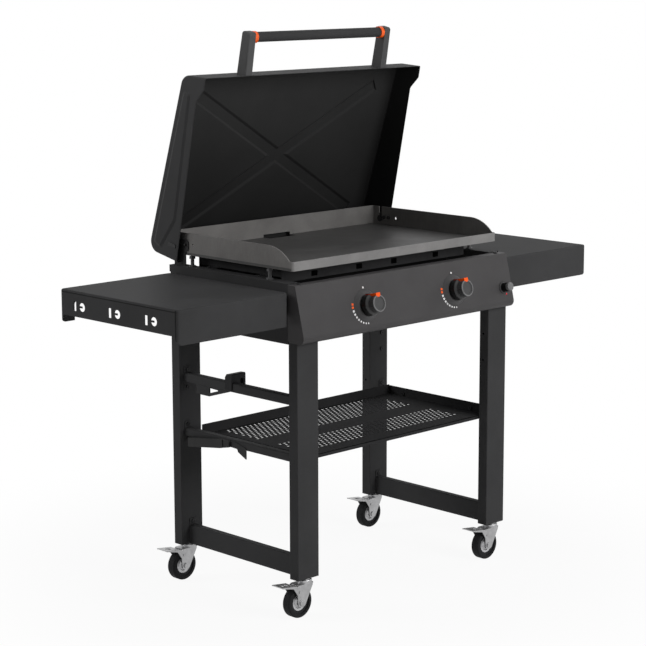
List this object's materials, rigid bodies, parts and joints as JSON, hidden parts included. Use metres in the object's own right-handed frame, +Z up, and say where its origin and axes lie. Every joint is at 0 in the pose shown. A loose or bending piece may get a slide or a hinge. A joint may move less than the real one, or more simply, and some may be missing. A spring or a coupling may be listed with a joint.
{
  "type": "outdoor gas griddle station",
  "caption": "Two-burner flat-top gas griddle on a wheeled leg frame with hinged lid, fixed side shelves, perforated bottom shelf and gas-bottle hook.",
  "frame": {"origin": "floor level, midway between the side shelves and midway from the front of the knobs to the back of the grease cup, to within a few millimetres; the hot plate is centred over it", "axes": "+X to the user's right along the width, +Y from the user to the back, +Z up"},
  "size_m": [1.422, 0.6093, 1.3621],
  "materials": {
    "black_powder_coat": "satin powder coat",
    "panel_coat": "matte powder coat",
    "griddle_steel": "seasoned rolled steel",
    "zinc": "zinc plated",
    "black_screw": "black oxide",
    "chrome": "polished",
    "black_plastic": "moulded",
    "orange_plastic": "moulded",
    "rubber": "moulded",
    "brass": "turned",
    "burner_steel": "stainless tube",
    "ceramic": "glazed"
  },
  "bodies": {
    "frame": {"leg_front_left": "black_powder_coat", "leg_front_right": "black_powder_coat", "leg_rear_left": "black_powder_coat", "leg_rear_right": "black_powder_coat", "bottom_rail_left": "black_powder_coat", "bottom_rail_right": "black_powder_coat", "shelf_bar_left": "black_powder_coat", "shelf_bar_right": "black_powder_coat", "bottom_shelf": "black_powder_coat", "tank_bar": "black_powder_coat", "tank_stop": "black_powder_coat", "side_panel_left": "black_powder_coat", "side_panel_right": "black_powder_coat", "rear_panel": "black_powder_coat", "burner_box": "black_powder_coat", "shelf_left": "black_powder_coat", "shelf_right": "black_powder_coat", "hinge_plate_left": "black_powder_coat", "hinge_plate_right": "black_powder_coat", "control_panel": "panel_coat", "griddle_plate": "griddle_steel", "plate_feet": "zinc", "caster_stems": "zinc", "frame_screws": "black_screw", "shelf_bolts": "black_screw", "tank_hook": "black_plastic", "bezel_left": "black_plastic", "bezel_right": "black_plastic", "igniter_body": "black_plastic", "tank_bumper": "rubber", "valve_left": "brass", "valve_right": "brass", "gas_manifold": "brass", "burner_left": "burner_steel", "burner_right": "burner_steel", "electrodes": "ceramic"},
    "lid": {"lid_shell": "black_powder_coat", "hinge_pins": "black_screw", "handle_post_left": "black_powder_coat", "handle_post_right": "black_powder_coat", "handle_bar": "black_powder_coat", "handle_rings": "orange_plastic"},
    "plunger_l": {"plunger_left": "brass"},
    "plunger_r": {"plunger_right": "brass"},
    "dial_l": {"knob_left": "black_plastic"},
    "dial_r": {"knob_right": "black_plastic"},
    "button": {"igniter_button": "chrome"},
    "cup": {"grease_cup": "black_powder_coat"},
    "swivel_front_left": {"caster_fork_front_left": "zinc"},
    "roll_front_left": {"caster_wheel_front_left": "rubber"},
    "pedal_front_left": {"caster_brake_front_left": "zinc"},
    "swivel_front_right": {"caster_fork_front_right": "zinc"},
    "roll_front_right": {"caster_wheel_front_right": "rubber"},
    "pedal_front_right": {"caster_brake_front_right": "zinc"},
    "swivel_rear_left": {"caster_fork_rear_left": "zinc"},
    "roll_rear_left": {"caster_wheel_rear_left": "rubber"},
    "pedal_rear_left": {"caster_brake_rear_left": "zinc"},
    "swivel_rear_right": {"caster_fork_rear_right": "zinc"},
    "roll_rear_right": {"caster_wheel_rear_right": "rubber"},
    "pedal_rear_right": {"caster_brake_rear_right": "zinc"}
  },
  "joints": [
    {"name": "lid_hinge", "type": "hinge", "parent": "frame", "child": "lid", "pos_m": [0, 0.187, 0.846], "axis": [1, 0, 0], "range_deg": [0, 78.4]},
    {"name": "dial_push_l", "type": "slide", "parent": "frame", "child": "plunger_l", "axis": [0, 0.972, -0.2351], "range_m": [0, 0.003], "stiffness_N_per_m": 500, "springref_m": -0.001},
    {"name": "dial_turn_l", "type": "hinge", "parent": "plunger_l", "child": "dial_l", "pos_m": [-0.155, -0.2572, 0.72559], "axis": [0, -0.972, 0.2351], "range_deg": [0, 180]},
    {"name": "dial_push_r", "type": "slide", "parent": "frame", "child": "plunger_r", "axis": [0, 0.972, -0.2351], "range_m": [0, 0.003], "stiffness_N_per_m": 500, "springref_m": -0.001},
    {"name": "dial_turn_r", "type": "hinge", "parent": "plunger_r", "child": "dial_r", "pos_m": [0.155, -0.2572, 0.72559], "axis": [0, -0.972, 0.2351], "range_deg": [0, 180]},
    {"name": "igniter_push", "type": "slide", "parent": "frame", "child": "button", "axis": [0, 0.972, -0.2351], "range_m": [0, 0.004], "stiffness_N_per_m": 400, "springref_m": -0.001},
    {"name": "cup_slide", "type": "slide", "parent": "frame", "child": "cup", "axis": [0, 1, 0], "range_m": [0, 0.115]},
    {"name": "caster_swivel_front_left", "type": "hinge", "parent": "frame", "child": "swivel_front_left", "pos_m": [-0.3343, -0.23035, 0.084], "axis": [0, 0, 1], "continuous": true},
    {"name": "caster_wheel_front_left", "type": "hinge", "parent": "swivel_front_left", "child": "roll_front_left", "pos_m": [-0.3583, -0.23035, 0.0375], "axis": [0, 1, 0], "continuous": true},
    {"name": "caster_brake_front_left", "type": "hinge", "parent": "swivel_front_left", "child": "pedal_front_left", "pos_m": [-0.3663, -0.23035, 0.066], "axis": [0, -1, 0], "range_deg": [0, 12]},
    {"name": "caster_swivel_front_right", "type": "hinge", "parent": "frame", "child": "swivel_front_right", "pos_m": [0.3343, -0.23035, 0.084], "axis": [0, 0, 1], "continuous": true},
    {"name": "caster_wheel_front_right", "type": "hinge", "parent": "swivel_front_right", "child": "roll_front_right", "pos_m": [0.3103, -0.23035, 0.0375], "axis": [0, 1, 0], "continuous": true},
    {"name": "caster_brake_front_right", "type": "hinge", "parent": "swivel_front_right", "child": "pedal_front_right", "pos_m": [0.3023, -0.23035, 0.066], "axis": [0, -1, 0], "range_deg": [0, 12]},
    {"name": "caster_swivel_rear_left", "type": "hinge", "parent": "frame", "child": "swivel_rear_left", "pos_m": [-0.3343, 0.18895, 0.084], "axis": [0, 0, 1], "continuous": true},
    {"name": "caster_wheel_rear_left", "type": "hinge", "parent": "swivel_rear_left", "child": "roll_rear_left", "pos_m": [-0.3583, 0.18895, 0.0375], "axis": [0, 1, 0], "continuous": true},
    {"name": "caster_brake_rear_left", "type": "hinge", "parent": "swivel_rear_left", "child": "pedal_rear_left", "pos_m": [-0.3663, 0.18895, 0.066], "axis": [0, -1, 0], "range_deg": [0, 12]},
    {"name": "caster_swivel_rear_right", "type": "hinge", "parent": "frame", "child": "swivel_rear_right", "pos_m": [0.3343, 0.18895, 0.084], "axis": [0, 0, 1], "continuous": true},
    {"name": "caster_wheel_rear_right", "type": "hinge", "parent": "swivel_rear_right", "child": "roll_rear_right", "pos_m": [0.3103, 0.18895, 0.0375], "axis": [0, 1, 0], "continuous": true},
    {"name": "caster_brake_rear_right", "type": "hinge", "parent": "swivel_rear_right", "child": "pedal_rear_right", "pos_m": [0.3023, 0.18895, 0.066], "axis": [0, -1, 0], "range_deg": [0, 12]}
  ]
}
